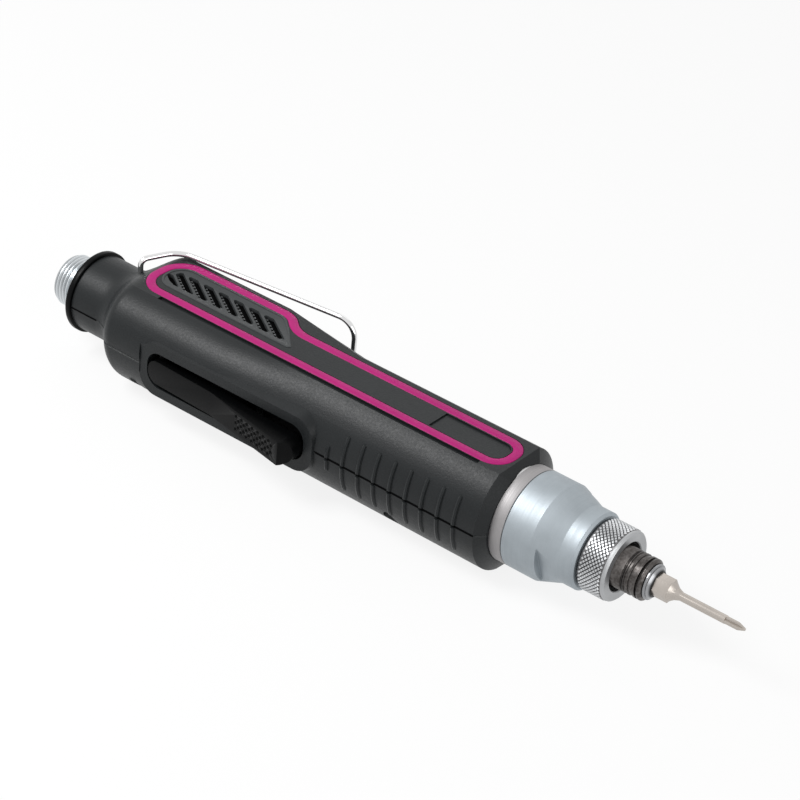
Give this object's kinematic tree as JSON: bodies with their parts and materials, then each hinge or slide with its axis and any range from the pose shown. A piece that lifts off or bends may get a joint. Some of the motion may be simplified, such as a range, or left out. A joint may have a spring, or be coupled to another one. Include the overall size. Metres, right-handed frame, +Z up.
{
  "type": "electric screwdriver",
  "caption": "Inline corded electric screwdriver with a side start paddle, hanging bail, knurled torque ring, quick-change bit chuck and a screw connector at the tail.",
  "frame": {"origin": "on the spindle axis, at the rear face of the nose flange", "axes": "+X along the spindle towards the bit, +Z up through the vented top face, start paddle on -Y"},
  "size_m": [0.2596, 0.0508, 0.0382],
  "materials": {
    "housing": "fine moulded texture, charcoal",
    "accent": "satin magenta",
    "grille": "satin dark grey",
    "screen": "matt black",
    "black_trim": "semi-gloss black",
    "nose": "satin anodised",
    "flange": "satin warm grey",
    "ring": "bright knurled",
    "chuck": "dark turned steel",
    "bit": "nickel plated",
    "connector": "bright zinc",
    "polished": "polished wire",
    "steel": "ground steel",
    "bronze": "sintered bronze",
    "copper": "enamelled copper wire",
    "core": "laminated iron",
    "board": "solder mask green",
    "dark_plastic": "moulded black"
  },
  "bodies": {
    "housing": {"upper_shell": "housing", "lower_shell": "housing", "accent_band": "accent", "vent_grille": "grille", "vent_screen": "screen", "tail_ring": "black_trim", "connector_barrel": "connector", "connector_flange": "connector", "connector_insert": "dark_plastic", "connector_contacts": "bronze", "case_screws": "steel", "nose_flange": "flange", "nose_cone": "nose", "gear_case": "steel", "gear_cover": "steel", "ring_gear": "steel", "clutch_balls": "steel", "clutch_plate": "steel", "torque_spring": "steel", "spindle_bush": "bronze", "motor_can": "steel", "motor_front_plate": "nose", "motor_end_cap": "nose", "front_motor_bearing": "steel", "rear_motor_bearing": "steel", "stator_core": "core", "stator_coils": "copper", "paddle_pin": "steel", "paddle_spring": "steel", "start_switch": "dark_plastic", "circuit_board": "board", "board_components": "dark_plastic", "reverse_switch": "dark_plastic", "rocker_pin": "steel"},
    "rotor": {"rotor_shaft": "steel", "rotor_magnet": "core", "sun_gear_1": "steel"},
    "carrier_1": {"planet_carrier_1": "steel", "sun_gear_2": "steel"},
    "spindle": {"spindle": "chuck", "planet_carrier_2": "steel", "sleeve_clip": "polished", "driver_bit": "bit", "bit_balls": "steel", "sleeve_spring": "steel"},
    "torque_seat": {"spring_seat": "steel"},
    "torque_ring": {"torque_ring": "ring", "nose_bush": "bronze"},
    "sleeve": {"bit_sleeve": "chuck"},
    "paddle": {"start_paddle": "black_trim"},
    "plunger": {"switch_plunger": "dark_plastic"},
    "rocker": {"reverse_rocker": "black_trim"},
    "bail": {"hanging_bail": "polished"},
    "planet_1a": {"planet_gear_1a": "steel"},
    "planet_1b": {"planet_gear_1b": "steel"},
    "planet_1c": {"planet_gear_1c": "steel"},
    "planet_2a": {"planet_gear_2a": "steel"},
    "planet_2b": {"planet_gear_2b": "steel"},
    "planet_2c": {"planet_gear_2c": "steel"}
  },
  "joints": [
    {"name": "rotor_spin", "type": "hinge", "parent": "housing", "child": "rotor", "pos_m": [-0.064, 0, 0], "axis": [1, 0, 0], "continuous": true},
    {"name": "carrier_1_spin", "type": "hinge", "parent": "housing", "child": "carrier_1", "pos_m": [-0.017, 0, 0], "axis": [1, 0, 0], "continuous": true},
    {"name": "spindle_spin", "type": "hinge", "parent": "housing", "child": "spindle", "pos_m": [0.02, 0, 0], "axis": [1, 0, 0], "continuous": true},
    {"name": "planet_1a_spin", "type": "hinge", "parent": "carrier_1", "child": "planet_1a", "pos_m": [-0.0224, 0.0075, 0], "axis": [1, 0, 0], "continuous": true},
    {"name": "planet_1b_spin", "type": "hinge", "parent": "carrier_1", "child": "planet_1b", "pos_m": [-0.0224, -0.00375, 0.0065], "axis": [1, 0, 0], "continuous": true},
    {"name": "planet_1c_spin", "type": "hinge", "parent": "carrier_1", "child": "planet_1c", "pos_m": [-0.0224, -0.00375, -0.0065], "axis": [1, 0, 0], "continuous": true},
    {"name": "planet_2a_spin", "type": "hinge", "parent": "spindle", "child": "planet_2a", "pos_m": [-0.0117, 0.0075, 0], "axis": [1, 0, 0], "continuous": true},
    {"name": "planet_2b_spin", "type": "hinge", "parent": "spindle", "child": "planet_2b", "pos_m": [-0.0117, -0.00375, 0.0065], "axis": [1, 0, 0], "continuous": true},
    {"name": "planet_2c_spin", "type": "hinge", "parent": "spindle", "child": "planet_2c", "pos_m": [-0.0117, -0.00375, -0.0065], "axis": [1, 0, 0], "continuous": true},
    {"name": "torque_travel", "type": "slide", "parent": "housing", "child": "torque_seat", "axis": [1, 0, 0], "range_m": [0, 0.002], "deforming": ["torque_spring"]},
    {"name": "torque_turn", "type": "hinge", "parent": "torque_seat", "child": "torque_ring", "pos_m": [0.033, 0, 0], "axis": [1, 0, 0], "range_deg": [0, 721]},
    {"name": "sleeve_slide", "type": "slide", "parent": "spindle", "child": "sleeve", "axis": [1, 0, 0], "range_m": [-0.0025, 0], "stiffness_N_per_m": 800, "springref_m": 0.004, "deforming": ["sleeve_spring"]},
    {"name": "paddle_press", "type": "hinge", "parent": "housing", "child": "paddle", "pos_m": [-0.1254, -0.0177, 0], "axis": [0, 0, 1], "range_deg": [0, 4.5], "stiffness_Nm_per_rad": 1, "springref_deg": -6.88, "deforming": ["paddle_spring"]},
    {"name": "plunger_push", "type": "slide", "parent": "housing", "child": "plunger", "axis": [0, 1, 0], "range_m": [0, 0.0018]},
    {"name": "rocker_tilt", "type": "hinge", "parent": "housing", "child": "rocker", "pos_m": [-0.112, 0.0194, 0], "axis": [0, 0, 1], "range_deg": [-6, 6]},
    {"name": "bail_swing", "type": "hinge", "parent": "housing", "child": "bail", "pos_m": [-0.154, 0.0022, 0], "axis": [0, 0, 1], "range_deg": [0, 180]}
  ],
  "couplings": [
    {"joint": "carrier_1_spin", "follows": "rotor_spin", "ratio": 0.2},
    {"joint": "spindle_spin", "follows": "rotor_spin", "ratio": 0.04},
    {"joint": "planet_1a_spin", "follows": "rotor_spin", "ratio": -0.53333},
    {"joint": "planet_1b_spin", "follows": "rotor_spin", "ratio": -0.53333},
    {"joint": "planet_1c_spin", "follows": "rotor_spin", "ratio": -0.53333},
    {"joint": "planet_2a_spin", "follows": "rotor_spin", "ratio": -0.10667},
    {"joint": "planet_2b_spin", "follows": "rotor_spin", "ratio": -0.10667},
    {"joint": "planet_2c_spin", "follows": "rotor_spin", "ratio": -0.10667},
    {"joint": "torque_turn", "follows": "torque_travel", "rad_per_m": 6283.2},
    {"joint": "plunger_push", "follows": "paddle_press", "m_per_rad": 0.0204}
  ]
}
